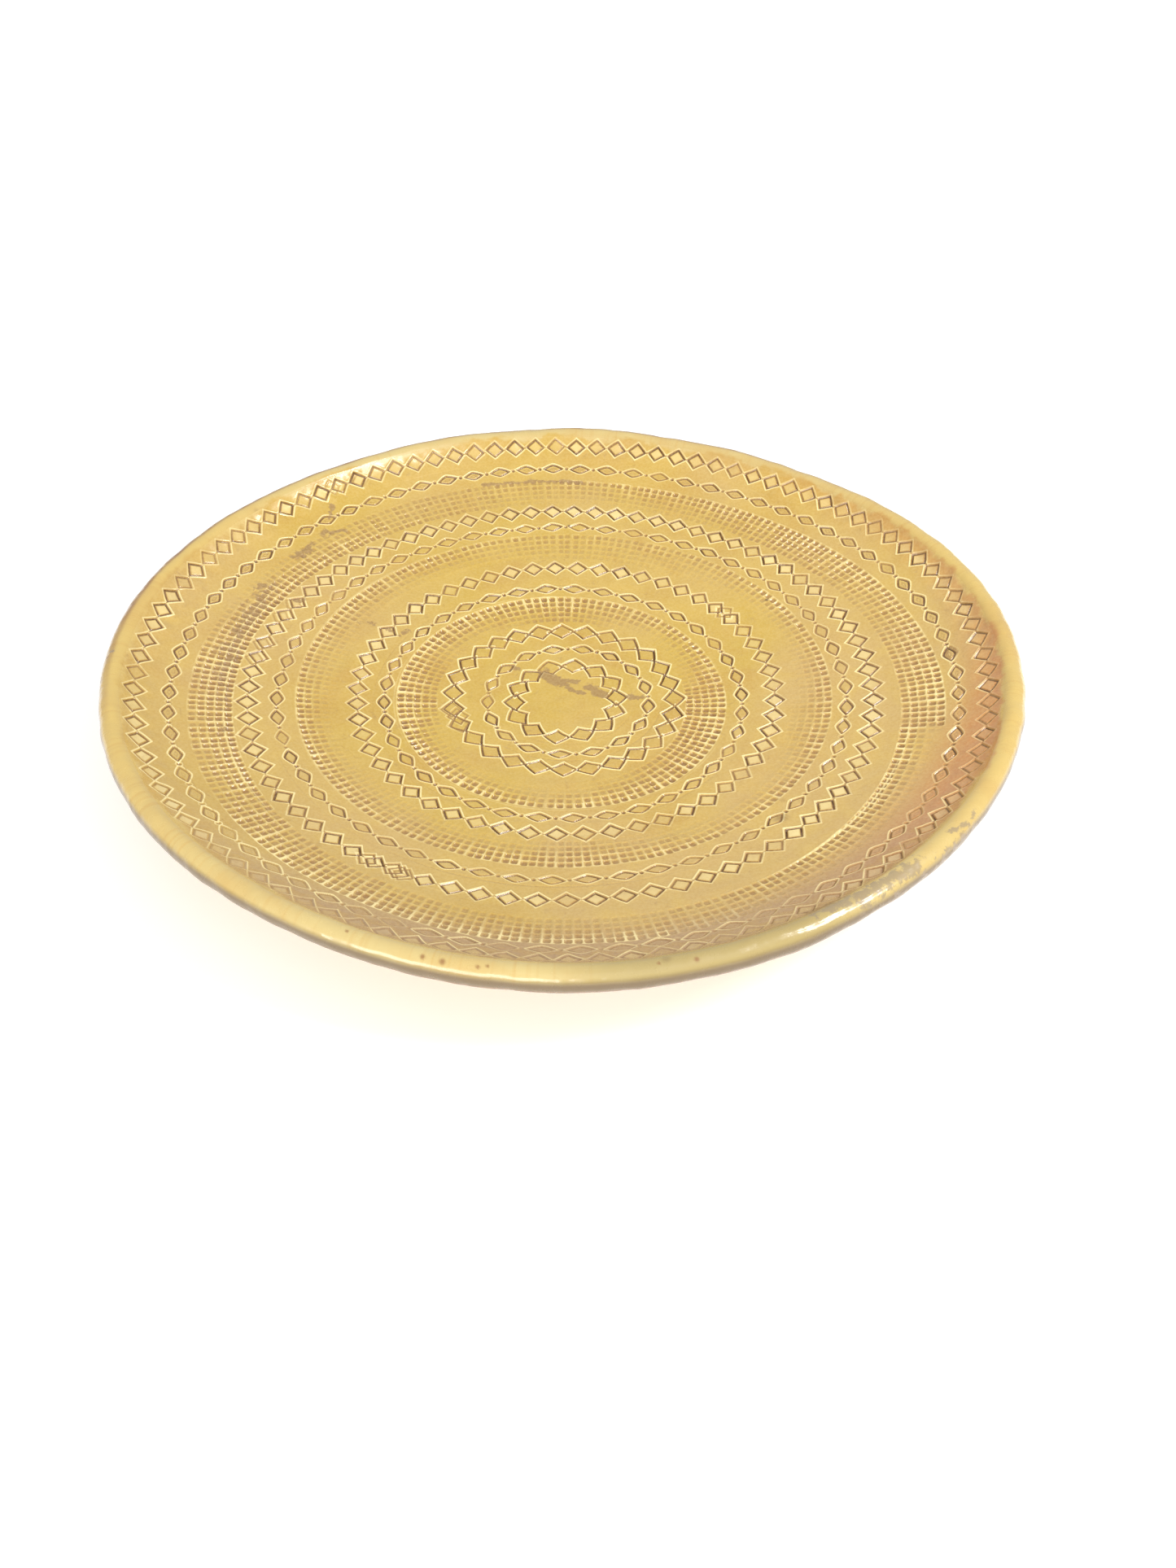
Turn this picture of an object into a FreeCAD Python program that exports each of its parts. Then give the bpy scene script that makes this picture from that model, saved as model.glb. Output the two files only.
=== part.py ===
import FreeCAD, Part
import math
import os

# A large, shallow, wheel-thrown stoneware dish with a rounded lip, standing on a luted-on foot ring.
# The fired clay carries four coats of glaze, which were poured or brushed in separate goes and meet
# edge to edge: the face, the lip, the back, and the recess inside the foot ring.
# Millimetres. +Z is up and is the axis of the wheel. The origin is the centre of the foot ring's
# resting plane.

# ---- Driving dimensions ----

FLOOR_HEIGHT = 13.0          # glazed floor at the middle of the dish, above the resting plane
FLOOR_CURVE_RADIUS = 667.0   # the floor is one very shallow dished arc
FLOOR_EDGE_RADIUS = 150.0    # where the floor arc turns up into the wall
WALL_CURVE_RADIUS = 80.0     # the wall carries on up as a tighter arc, tangent to the floor
PLATE_THICKNESS = 7.0        # face to back, both glaze coats included
GLAZE_THICKNESS = 0.6

LIP_RADIUS = 5.0             # half the thickness of the rounded lip
LIP_CENTRE_RADIUS = 180.0    # from the axis to the middle of the lip
LIP_CENTRE_RISE = 26.2       # middle of the lip above the glazed floor
INNER_COVE_RADIUS = 20.0     # hollow between the wall and the lip, on the face
OUTER_COVE_RADIUS = 5.0      # hollow between the lip and the back

FOOT_OUTER_RADIUS = 100.0
FOOT_INNER_RADIUS = 88.0
FOOT_EDGE_ROUNDING = 3.0

FULL_TURN = 2 * math.pi

# ---- Centres that the section's arcs are struck from, as (distance from the axis, height) ----

FLOOR_TURN_ANGLE = math.asin(FLOOR_EDGE_RADIUS / FLOOR_CURVE_RADIUS)


def below(centre, radius, angle):
    """Point at a radius from a centre; angle 0 is straight down and grows outwards and up."""
    return (centre[0] + radius * math.sin(angle), centre[1] - radius * math.cos(angle))


def bearing(centre, point):
    """Angle of a point seen from a centre, as in below(), between minus and plus half a turn."""
    return math.atan2(point[0] - centre[0], centre[1] - point[1])


def triangle_angle(side_a, side_b, opposite):
    """Angle between two sides of a triangle whose third side is given."""
    return math.acos((side_a ** 2 + side_b ** 2 - opposite ** 2) / (2 * side_a * side_b))


FLOOR_CENTRE = (0.0, FLOOR_HEIGHT + FLOOR_CURVE_RADIUS)
WALL_CENTRE = below(FLOOR_CENTRE, FLOOR_CURVE_RADIUS - WALL_CURVE_RADIUS, FLOOR_TURN_ANGLE)
LIP_CENTRE = (LIP_CENTRE_RADIUS, FLOOR_HEIGHT + LIP_CENTRE_RISE)


def cove_centre(distance_from_wall_centre, cove_radius):
    """Centre of a cove that touches both the lip and the face or back of the wall."""
    lip_distance = math.dist(WALL_CENTRE, LIP_CENTRE)
    swing = triangle_angle(distance_from_wall_centre, lip_distance, LIP_RADIUS + cove_radius)
    return below(WALL_CENTRE, distance_from_wall_centre, bearing(WALL_CENTRE, LIP_CENTRE) - swing)


INNER_COVE_CENTRE = cove_centre(WALL_CURVE_RADIUS - INNER_COVE_RADIUS, INNER_COVE_RADIUS)
OUTER_COVE_CENTRE = cove_centre(
    WALL_CURVE_RADIUS + PLATE_THICKNESS + OUTER_COVE_RADIUS, OUTER_COVE_RADIUS)


# ---- Section outlines. Depth is measured from the glazed skin into the plate. ----

def vector(point):
    return FreeCAD.Vector(point[0], 0.0, point[1])


def arc(centre, radius, start_angle, end_angle):
    middle = (start_angle + end_angle) / 2
    points = [vector(below(centre, radius, angle)) for angle in (start_angle, middle, end_angle)]
    return Part.Arc(*points).toShape()


def line(start, end):
    return Part.LineSegment(vector(start), vector(end)).toShape()


def floor_angle(distance_from_axis, arc_radius):
    return math.asin(distance_from_axis / arc_radius)


def face_arcs(depth):
    """From the axis, over the floor and up the wall, to the foot of the lip."""
    wall_end = bearing(WALL_CENTRE, INNER_COVE_CENTRE)
    cove_end = bearing(INNER_COVE_CENTRE, LIP_CENTRE)
    return [
        arc(FLOOR_CENTRE, FLOOR_CURVE_RADIUS + depth, 0.0, FLOOR_TURN_ANGLE),
        arc(WALL_CENTRE, WALL_CURVE_RADIUS + depth, FLOOR_TURN_ANGLE, wall_end),
        arc(INNER_COVE_CENTRE, INNER_COVE_RADIUS + depth, wall_end, cove_end),
    ]


def lip_arcs(depth):
    """From the foot of the lip on the face, over its top, to its foot on the back."""
    start = bearing(LIP_CENTRE, INNER_COVE_CENTRE) + FULL_TURN
    end = bearing(LIP_CENTRE, OUTER_COVE_CENTRE)
    return [arc(LIP_CENTRE, LIP_RADIUS - depth, start, end)]


def back_arcs(depth, nearest_axis):
    """From the foot of the lip, down the back, to a distance from the axis."""
    cove_start = bearing(OUTER_COVE_CENTRE, LIP_CENTRE)
    cove_end = bearing(OUTER_COVE_CENTRE, WALL_CENTRE) + FULL_TURN
    wall_start = bearing(WALL_CENTRE, OUTER_COVE_CENTRE)
    floor_radius = FLOOR_CURVE_RADIUS + PLATE_THICKNESS - depth
    return [
        arc(OUTER_COVE_CENTRE, OUTER_COVE_RADIUS + depth, cove_start, cove_end),
        arc(WALL_CENTRE, WALL_CURVE_RADIUS + PLATE_THICKNESS - depth, wall_start, FLOOR_TURN_ANGLE),
        arc(FLOOR_CENTRE, floor_radius, FLOOR_TURN_ANGLE, floor_angle(nearest_axis, floor_radius)),
    ]


def back_point(depth, distance_from_axis):
    """Point of the underside below the floor arc, at a distance from the axis."""
    radius = FLOOR_CURVE_RADIUS + PLATE_THICKNESS - depth
    return below(FLOOR_CENTRE, radius, floor_angle(distance_from_axis, radius))


def turned(edges):
    """Solid swept round the wheel's axis by a closed outline."""
    face = Part.Face(Part.Wire(Part.__sortEdges__(edges)))
    solid = face.revolve(FreeCAD.Vector(0, 0, 0), FreeCAD.Vector(0, 0, 1), 360)
    if solid.ShapeType != "Solid":
        solid = Part.Solid(solid.Shells[0])
    if solid.Volume < 0:
        solid.reverse()
    return solid


# ---- Pieces ----

def clay_body():
    """The thrown disc: floor, wall and rounded lip, as bare fired clay under the glaze."""
    outline = face_arcs(GLAZE_THICKNESS) + lip_arcs(GLAZE_THICKNESS) + back_arcs(GLAZE_THICKNESS, 0.0)
    outline.append(line(back_point(GLAZE_THICKNESS, 0.0),
                        (0.0, FLOOR_HEIGHT - GLAZE_THICKNESS)))
    return turned(outline)


def foot_ring():
    """The luted-on ring that the dish stands on, wiped clean of glaze."""
    rounding = FOOT_EDGE_ROUNDING
    inner_top = back_point(GLAZE_THICKNESS, FOOT_INNER_RADIUS)
    outer_top = back_point(GLAZE_THICKNESS, FOOT_OUTER_RADIUS)
    clay_radius = FLOOR_CURVE_RADIUS + PLATE_THICKNESS - GLAZE_THICKNESS
    inner_corner = (FOOT_INNER_RADIUS + rounding, rounding)
    outer_corner = (FOOT_OUTER_RADIUS - rounding, rounding)
    return turned([
        arc(FLOOR_CENTRE, clay_radius, floor_angle(FOOT_INNER_RADIUS, clay_radius),
            floor_angle(FOOT_OUTER_RADIUS, clay_radius)),
        line(outer_top, (FOOT_OUTER_RADIUS, rounding)),
        arc(outer_corner, rounding, math.pi / 2, 0.0),
        line((outer_corner[0], 0.0), (inner_corner[0], 0.0)),
        arc(inner_corner, rounding, 0.0, -math.pi / 2),
        line((FOOT_INNER_RADIUS, rounding), inner_top),
    ])


def seam(centre, towards, inner_radius, outer_radius):
    """Edge between two coats: the short line across the glaze, square to the skin."""
    angle = bearing(centre, towards)
    return line(below(centre, inner_radius, angle), below(centre, outer_radius, angle))


def inner_seam():
    return seam(INNER_COVE_CENTRE, LIP_CENTRE, INNER_COVE_RADIUS, INNER_COVE_RADIUS + GLAZE_THICKNESS)


def outer_seam():
    return seam(OUTER_COVE_CENTRE, LIP_CENTRE, OUTER_COVE_RADIUS, OUTER_COVE_RADIUS + GLAZE_THICKNESS)


def face_glaze():
    """Coat on the floor and wall, which takes the stamped pattern."""
    outline = face_arcs(0.0) + [inner_seam()] + face_arcs(GLAZE_THICKNESS)
    outline.append(line((0.0, FLOOR_HEIGHT - GLAZE_THICKNESS), (0.0, FLOOR_HEIGHT)))
    return turned(outline)


def lip_glaze():
    """Paler coat over the rounded lip."""
    return turned(lip_arcs(0.0) + [outer_seam()] + lip_arcs(GLAZE_THICKNESS) + [inner_seam()])


def back_glaze():
    """Coat on the back, from the lip to the outside of the foot ring."""
    outline = back_arcs(0.0, FOOT_OUTER_RADIUS) + back_arcs(GLAZE_THICKNESS, FOOT_OUTER_RADIUS)
    outline.append(outer_seam())
    outline.append(line(back_point(0.0, FOOT_OUTER_RADIUS), back_point(GLAZE_THICKNESS, FOOT_OUTER_RADIUS)))
    return turned(outline)


def recess_glaze():
    """Coat on the underside, inside the foot ring."""
    outline = []
    for depth in (0.0, GLAZE_THICKNESS):
        radius = FLOOR_CURVE_RADIUS + PLATE_THICKNESS - depth
        outline.append(arc(FLOOR_CENTRE, radius, 0.0, floor_angle(FOOT_INNER_RADIUS, radius)))
    for distance in (0.0, FOOT_INNER_RADIUS):
        outline.append(line(back_point(0.0, distance), back_point(GLAZE_THICKNESS, distance)))
    return turned(outline)


PIECES = {
    "clay_body": clay_body,
    "foot_ring": foot_ring,
    "face_glaze": face_glaze,
    "lip_glaze": lip_glaze,
    "back_glaze": back_glaze,
    "recess_glaze": recess_glaze,
}

os.makedirs("parts", exist_ok=True)
for name, build in PIECES.items():
    solid = build()
    box = solid.optimalBoundingBox()
    print(f"{name}: valid {solid.isValid()}, {solid.Volume / 1000:.1f} cm3, "
          f"radius {box.XMax:.2f}, z {box.ZMin:.2f} to {box.ZMax:.2f}")
    solid.exportStep(f"parts/{name}.step")
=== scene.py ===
"""Looks of a large hand-thrown dish: honey glaze over rings of stamped diamonds, lozenges and pits.

Lengths in the tables are millimetres and angles are degrees, counted anticlockwise from +X as seen
from above. Meshes are made in metres, in the frame of the CAD model.
"""
import math

import bpy
import numpy as np
from mathutils import Matrix, Vector


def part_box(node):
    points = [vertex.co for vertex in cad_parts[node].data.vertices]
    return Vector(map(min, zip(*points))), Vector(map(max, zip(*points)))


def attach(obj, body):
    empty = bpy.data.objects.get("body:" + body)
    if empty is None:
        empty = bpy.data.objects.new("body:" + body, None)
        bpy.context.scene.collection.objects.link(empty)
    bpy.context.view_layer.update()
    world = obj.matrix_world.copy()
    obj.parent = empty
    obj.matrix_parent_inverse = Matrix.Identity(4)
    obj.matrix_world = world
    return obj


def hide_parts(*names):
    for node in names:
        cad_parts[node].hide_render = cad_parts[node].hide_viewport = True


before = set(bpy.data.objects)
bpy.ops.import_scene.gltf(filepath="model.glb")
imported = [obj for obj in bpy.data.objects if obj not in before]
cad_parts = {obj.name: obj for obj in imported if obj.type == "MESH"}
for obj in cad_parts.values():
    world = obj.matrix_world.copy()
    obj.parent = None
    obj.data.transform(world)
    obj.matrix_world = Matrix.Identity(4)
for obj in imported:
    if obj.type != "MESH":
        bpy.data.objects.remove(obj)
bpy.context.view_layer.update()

MM = 0.001
TAU = 2 * math.pi

# --- Camera ---

VIEW_ELEVATION = 41.57       # degrees above the table
VIEW_ROLL = -0.60            # degrees
VIEW_DISTANCE = 673.1        # mm along the line of sight, to the height of the dish's floor
VIEW_ASIDE = -10.0           # mm from the line of sight to the dish's middle, to the right
VIEW_BELOW = -36.5           # mm from the line of sight to the dish's middle, downwards
LENS = 36.43                 # mm
SENSOR = 36.0                # mm along the long side
FLOOR_OF_DISH = 14.7         # mm above the table


def make_camera():
    """Camera in front of the dish (-Y), looking down at it."""
    elevation = math.radians(VIEW_ELEVATION)
    roll = math.radians(VIEW_ROLL)
    forward = Vector((0, math.cos(elevation), -math.sin(elevation)))
    right = Vector((1, 0, 0))
    down = forward.cross(right)
    rolled_right = right * math.cos(roll) + down * math.sin(roll)
    rolled_down = down * math.cos(roll) - right * math.sin(roll)
    middle = Vector((0, 0, FLOOR_OF_DISH))
    place = middle - rolled_right * VIEW_ASIDE - rolled_down * VIEW_BELOW - forward * VIEW_DISTANCE

    camera = bpy.data.objects.new("camera", bpy.data.cameras.new("camera"))
    camera.data.lens = LENS
    camera.data.sensor_width = SENSOR
    camera.data.clip_start = 0.01
    axes = Matrix((rolled_right, -rolled_down, -forward)).transposed().to_4x4()
    camera.matrix_world = Matrix.Translation(place * MM) @ axes
    bpy.context.scene.collection.objects.link(camera)
    bpy.context.scene.camera = camera


make_camera()

# --- Section of the dish: the same arcs as the CAD model, in mm ---

GLAZE = 0.6
THICKNESS = 7.0
FLOOR_CURVE = 667.0
WALL_CURVE = 80.0
LIP_ROUND = 5.0
INNER_COVE = 20.0
OUTER_COVE = 5.0
FLOOR_EDGE = 150.0
FOOT_ROUNDING = 3.0


def node_corners(name):
    """Lowest and highest corner of a CAD node's box, in mm."""
    return np.array(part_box(name)) / MM


FLOOR_HEIGHT = node_corners("face_glaze")[0, 2] + GLAZE
LIP_HIGH = node_corners("lip_glaze")[1]
FOOT_OUTER = round(node_corners("foot_ring")[1, 0], 1)
FOOT_INNER = round(node_corners("recess_glaze")[1, 0], 1)


def below(centre, radius, angle):
    """Point at a radius from a centre; angle 0 is straight down and grows outwards and up."""
    return np.array([centre[0] + radius * math.sin(angle), centre[1] - radius * math.cos(angle)])


def bearing(centre, point):
    return math.atan2(point[0] - centre[0], centre[1] - point[1])


TURN = math.asin(FLOOR_EDGE / FLOOR_CURVE)
FLOOR_CENTRE = np.array([0.0, FLOOR_HEIGHT + FLOOR_CURVE])
WALL_CENTRE = below(FLOOR_CENTRE, FLOOR_CURVE - WALL_CURVE, TURN)
LIP_CENTRE = np.array([LIP_HIGH[0] - LIP_ROUND, LIP_HIGH[2] - LIP_ROUND])


def cove_centre(distance, cove_radius):
    """Centre of a cove that touches the lip and the wall."""
    lip_distance = math.dist(WALL_CENTRE, LIP_CENTRE)
    reach = LIP_ROUND + cove_radius
    swing = math.acos((distance ** 2 + lip_distance ** 2 - reach ** 2) / (2 * distance * lip_distance))
    return below(WALL_CENTRE, distance, bearing(WALL_CENTRE, LIP_CENTRE) - swing)


INNER_COVE_CENTRE = cove_centre(WALL_CURVE - INNER_COVE, INNER_COVE)
OUTER_COVE_CENTRE = cove_centre(WALL_CURVE + THICKNESS + OUTER_COVE, OUTER_COVE)


def arc_points(centre, radius, start, end, step):
    """Points along an arc about a step apart, with both ends, and the direction from its centre."""
    count = max(2, round(abs(end - start) * radius / step))
    angles = np.linspace(start, end, count + 1)
    ray = np.stack([np.sin(angles), -np.cos(angles)], axis=1)
    return centre + radius * ray, ray


def joined(pieces):
    """One section line from several (points, outward normal) runs that meet end to end."""
    return tuple(np.concatenate([pieces[0][part]] + [run[part][1:] for run in pieces[1:]])
                 for part in (0, 1))


def face_line(depth, step):
    """Axis to the foot of the lip. Normals point out of the plate."""
    wall_end = bearing(WALL_CENTRE, INNER_COVE_CENTRE)
    cove_end = bearing(INNER_COVE_CENTRE, LIP_CENTRE)
    runs = []
    for centre, radius, start, end in (
        (FLOOR_CENTRE, FLOOR_CURVE, 0.0, TURN),
        (WALL_CENTRE, WALL_CURVE, TURN, wall_end),
        (INNER_COVE_CENTRE, INNER_COVE, wall_end, cove_end),
    ):
        points, ray = arc_points(centre, radius + depth, start, end, step)
        runs.append((points, -ray))
    return joined(runs)


def lip_line(depth, step):
    start = bearing(LIP_CENTRE, INNER_COVE_CENTRE) + TAU
    end = bearing(LIP_CENTRE, OUTER_COVE_CENTRE)
    return arc_points(LIP_CENTRE, LIP_ROUND - depth, start, end, step)


def back_line(depth, nearest_axis, step):
    """Foot of the lip to a distance from the axis, along the back."""
    cove_start = bearing(OUTER_COVE_CENTRE, LIP_CENTRE)
    cove_end = bearing(OUTER_COVE_CENTRE, WALL_CENTRE) + TAU
    wall_start = bearing(WALL_CENTRE, OUTER_COVE_CENTRE)
    floor_radius = FLOOR_CURVE + THICKNESS - depth
    floor_end = math.asin(nearest_axis / floor_radius)
    cove, ray = arc_points(OUTER_COVE_CENTRE, OUTER_COVE + depth, cove_start, cove_end, step)
    return joined([
        (cove, -ray),
        arc_points(WALL_CENTRE, WALL_CURVE + THICKNESS - depth, wall_start, TURN, step),
        arc_points(FLOOR_CENTRE, floor_radius, TURN, floor_end, step),
    ])


# --- Hand-made irregularity of the whole dish ---

WARP_START = 104.0           # the foot and the floor inside this radius stay true
WARP_FULL = 185.0
OUT_OF_ROUND = (             # (waves round the rim, mm, direction of a crest)
    (2, 2.0, 180),
    (4, 1.0, 10),
)
LIP_WAVES = (
    (1, 1.3, 285),
    (2, 0.8, 175),
    (5, 0.5, 20),
)


def ease(values, start, end):
    """0 before start, 1 after end, with a smooth rise between."""
    t = np.clip((values - start) / (end - start), 0.0, 1.0)
    return t * t * (3 - 2 * t)


def waves(angle, table):
    total = np.zeros_like(angle)
    for count, size, crest in table:
        total += size * np.cos(count * (angle - math.radians(crest)))
    return total


def angles_round(count):
    """Angles of evenly spaced points round the dish."""
    return TAU * np.arange(count) / count


def flat(radius, angle):
    """x and y of a place given by radius and angle."""
    return radius * np.cos(angle), radius * np.sin(angle)


def swing_from(angle, start):
    """How far an angle is past another, from -pi to pi."""
    return (angle - start + math.pi) % TAU - math.pi


def warped(radius, angle, height):
    """Place of a point of the true dish on the hand-made one, as x, y, z in mm."""
    share = ease(radius, WARP_START, WARP_FULL)
    radius = radius + share * waves(angle, OUT_OF_ROUND)
    height = height + share * waves(angle, LIP_WAVES)
    return np.stack([*flat(radius, angle), height], axis=-1)


# --- Smooth random fields, always the same ---

class Lumps:
    """Smooth seeded noise over the dish, made of random plane waves. About -1 to 1."""

    def __init__(self, seed, wavelength, terms=14):
        rng = np.random.default_rng(seed)
        heading = rng.uniform(0, TAU, terms)
        length = wavelength * rng.uniform(0.7, 1.5, terms)
        self.kx = TAU / length * np.cos(heading)
        self.ky = TAU / length * np.sin(heading)
        self.phase = rng.uniform(0, TAU, terms)
        self.scale = math.sqrt(2.0 / terms) * 0.7

    def __call__(self, x, y):
        total = np.zeros_like(x)
        for kx, ky, phase in zip(self.kx, self.ky, self.phase):
            total += np.cos(kx * x + ky * y + phase)
        return total * self.scale


BROAD_LUMPS = Lumps(11, 62.0)
SMALL_LUMPS = Lumps(12, 17.0)
TINY_LUMPS = Lumps(13, 4.5)
RIM_LUMPS = Lumps(14, 9.0)

# --- Stamps ---
#
# Each takes the place (u along the ring, v outwards, mm) in a print and gives the cut
# (0 to 1) of the tool's edge, the swell of clay beside it (0 to 1), and the press of its middle.

def bell(distance, half_width):
    """1 on the line, 0 from half_width away, round between."""
    t = np.clip(np.abs(distance) / half_width, 0.0, 1.0)
    return (1 - t * t) ** 2


def outline_marks(distance, half_width, swell_gap):
    """Cut on an outline, with clay pushed up on its outer side."""
    cut = bell(distance, half_width)
    swell = bell(distance - swell_gap, half_width * 0.85)
    return cut, swell


def diamond_distance(u, v, length, width):
    facing = length * width / math.hypot(length, width)
    return (np.abs(u) / length + np.abs(v) / width - 1) * facing


def diamond(u, v):
    """Framed diamond with a smooth, sunken middle.

    The tool's shoulder leaves a soft hooked edge on the outward side, from point to point.
    """
    distance = diamond_distance(u, v, 4.05, 3.85)
    cut, swell = outline_marks(distance, 0.64, 0.98)
    nick = bell(np.hypot(np.abs(u) - 5.15, v), 0.75)
    shoulder = diamond_distance(u, v + 0.35, 5.4, 5.75)
    hook = bell(shoulder, 0.6) * ease(v, 0.2, 1.6)
    cut = np.maximum(np.maximum(cut, 0.42 * nick), 0.2 * hook)
    lift = 0.55 * bell(shoulder + 0.75, 0.6) * ease(v, 0.6, 2.0)
    return cut, np.maximum(0.85 * swell, lift), ease(-distance, 0.4, 0.9)


def crossed_diamond(u, v):
    """Thin-lined diamond that meets its neighbours, so that the lines cross."""
    distance = diamond_distance(u, v, 5.35, 4.2)
    cut, swell = outline_marks(distance, 0.62, 0.95)
    return cut, 0.9 * swell, np.zeros_like(cut)


def lozenge_distance(u, v, length, width, roundness=1.35):
    """Signed distance, nearly, to an eye-shaped outline."""
    along = np.abs(u) / length
    value = along ** roundness + np.abs(v) / width - 1
    slope = np.hypot(roundness / length * along ** (roundness - 1), 1 / width)
    return value / slope


def lozenge(u, v):
    distance = lozenge_distance(u, v, 4.4, 2.3)
    cut, swell = outline_marks(distance, 0.6, 0.9)
    return cut, 0.75 * swell, 0.5 * ease(-distance, 0.35, 0.8)


def marked_lozenge(u, v):
    """Lozenge with a second, small one pressed inside it."""
    cut, swell, middle = lozenge(u, v)
    inner = bell(lozenge_distance(u, v, 1.7, 0.6), 0.42)
    return np.maximum(cut, 0.32 * inner), swell, middle


def dot(u, v):
    distance = np.hypot(u, v)
    return bell(distance, 1.15), 0.4 * bell(distance - 1.35, 0.5), np.zeros_like(distance)


# Rings of single prints: stamp, mean radius, prints in the ring, angle of the first one, depth,
# waves of the ring's radius (waves, mm, direction of a crest), waves of the prints' spacing (waves,
# degrees, direction of a crest), stray (mm)
PRINT_RINGS = (
    (crossed_diamond, 23, 14, 5, 0.74, ((1, 0.5, 0), (2, 1.3, 80)), ((1, 2, -30),), 0.3),
    (lozenge, 35, 17, -7, 0.78, ((1, 1.5, 0), (2, 1, 90)), ((1, 1, 20),), 0.2),
    (crossed_diamond, 47, 28, 0, 0.72, ((1, 1, 110), (2, 0.7, -45)), ((1, 2.5, 20), (2, 1.5, 80)), 0.3),
    (lozenge, 76.5, 37, 0.5, 0.72, ((1, 1, -120), (2, 1.2, -80)), ((1, 0.5, -110),), 0.25),
    (diamond, 89, 54, 1.5, 0.7, ((1, 1.5, 60), (2, 1, 90)), ((1, 2, -30),), 0.25),
    (lozenge, 118.5, 57, 4.5, 0.58, ((1, 1, 130),), ((1, 1.5, 40),), 0.4),
    (diamond, 130, 79, 2.5, 0.76, ((1, 1, 180), (2, 1, 70)), ((1, 1, 0),), 0.3),
    (marked_lozenge, 160.5, 76, 3, 0.68, ((1, 1.5, -70), (2, 1, -90)), (), 0.3),
    (diamond, 171.5, 103, 2, 0.66, ((1, 0.7, 110),), ((1, 2, -10),), 0.2),
)
DOTTED = (lozenge, marked_lozenge)
CUT_SHARE_OF_DOT = 0.95

# Second strikes beside a print: number of the ring above, angle, shift outwards (mm), depth
DOUBLE_STRIKES = (
    (2, 190.0, 1.2, 0.45), (2, 196.0, -0.6, 0.5), (2, 203.0, 0.9, 0.4),
    (4, 39.0, 0.8, 0.5),
    (6, 237.5, 0.3, 0.6), (6, 242.3, -0.4, 0.7), (6, 244.6, 0.5, 0.45),
    (6, 171.0, 1.0, 0.35), (6, 175.6, 1.1, 0.35), (6, 162.0, 1.2, 0.3), (6, 157.3, 1.1, 0.3),
    (7, 3.1, 0.6, 0.5),
    (8, 126.0, -0.5, 0.4), (8, 131.0, 0.6, 0.35),
)

# Bands of pits rolled on with a toothed wheel: radius of the outermost row, waves of that radius,
# columns round the band, rows, depth, angle of the join, and how hard the wheel's outer and inner
# rows were pressed at each angle
ROW_PITCH = 3.4
PIT_BANDS = (
    (68.9, ((1, 1.35, 199), (2, 1.3, 103)), 118, 5, 0.62, 268, (
        (0, 0.8, 0.75), (18, 0.75, 0.15), (50, 0.7, -0.1), (75, 0.8, 0.3), (95, 0.85, 0.55),
        (130, 0.9, 0.1), (160, 0.9, 0.35), (185, 1.0, 0.75), (205, 0.95, 0.15),
        (240, 0.9, -0.1), (262, 0.7, -0.1), (278, 0.8, 0.1), (310, 0.9, 0.5), (340, 1.0, 0.9))),
    (110.5, ((1, 2.4, 92),), 198, 5, 0.52, 262, (
        (0, 0.85, 0.05), (25, 0.85, -0.2), (60, 0.6, 0.2), (90, 0.6, 0.35), (125, 0.75, 0.05),
        (150, 1.0, 0.1), (175, 0.75, 0.2), (200, 0.95, 0.0), (230, 0.8, 0.3), (258, 1.0, 0.2),
        (275, 0.95, 0.5), (300, 0.8, 0.0), (325, 0.9, -0.3), (345, 0.85, 0.3))),
    (152.9, ((1, 3.1, -69), (2, 1.4, -70)), 268, 5, 0.6, 346, (
        (0, 0.9, 0.75), (20, 0.8, 0.35), (45, 0.75, 0.65), (62, 0.8, 0.3), (90, 0.6, 0.2),
        (115, 0.45, 0.5), (135, 0.45, 0.65), (160, 0.2, 1.1), (180, 0.7, 1.1), (210, 0.5, 0.85),
        (225, 0.8, 0.55), (250, 0.78, 0.45), (280, 0.72, 0.3), (300, 0.35, 0.65),
        (320, 0.05, 1.0), (345, -0.1, 1.0), (347, 0.95, 0.7))),
)

# Fine lines scribed while the wheel turned: radius, waves of it, first and last angle, depth in mm
# (negative for a raised edge left by the toothed wheel)
SCRIBED_LINES = (
    (40.2, ((1, 0.8, 20),), 200, 400, 0.18),
    (28.8, ((1, 0.6, 0),), 180, 420, 0.15),
    (79.9, ((1, 0.8, 230),), 60, 330, 0.16),
    (81.2, ((1, 0.6, 200),), 190, 290, 0.1),
    (121.6, ((1, 1.4, 200),), 196, 300, 0.2),
    (134.5, ((1, 0.8, 160),), 185, 262, -0.12),
    (157.4, ((1, 1.0, 190),), 165, 232, 0.2),
    (166.0, ((1, 1.4, -47),), 20, 160, 0.08),
    (71.8, ((1, 1.35, 199), (2, 1.3, 103)), 100, 340, -0.16),
    (112.7, ((1, 2.4, 92),), 95, 300, -0.14),
    (141.6, ((1, 0.8, -40),), 296, 346, -0.3),
    (139.4, ((1, 0.6, 160),), 186, 228, -0.22),
)

STRIKE_REACH = 7.5           # mm from a stamp's middle that it can mark
STEEP_FROM = 155.0           # on the wall outside this radius, prints at the front are shallower
STEEP_LOSS = 0.4
SWELL = 0.24                 # mm of clay pushed up beside a cut
MIDDLE_PRESS = 0.12          # mm that a print's middle is pressed down
RIDGE_RISE = 0.14            # mm that the webs between pits stand up
RIM_LUMP = 0.19              # mm that the handled clay below the lip is uneven

FACE_SECTION = face_line(0.0, 0.25)[0]
SECTION_REACH = np.concatenate([[0.0], np.cumsum(np.hypot(*np.diff(FACE_SECTION, axis=0).T))])


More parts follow.
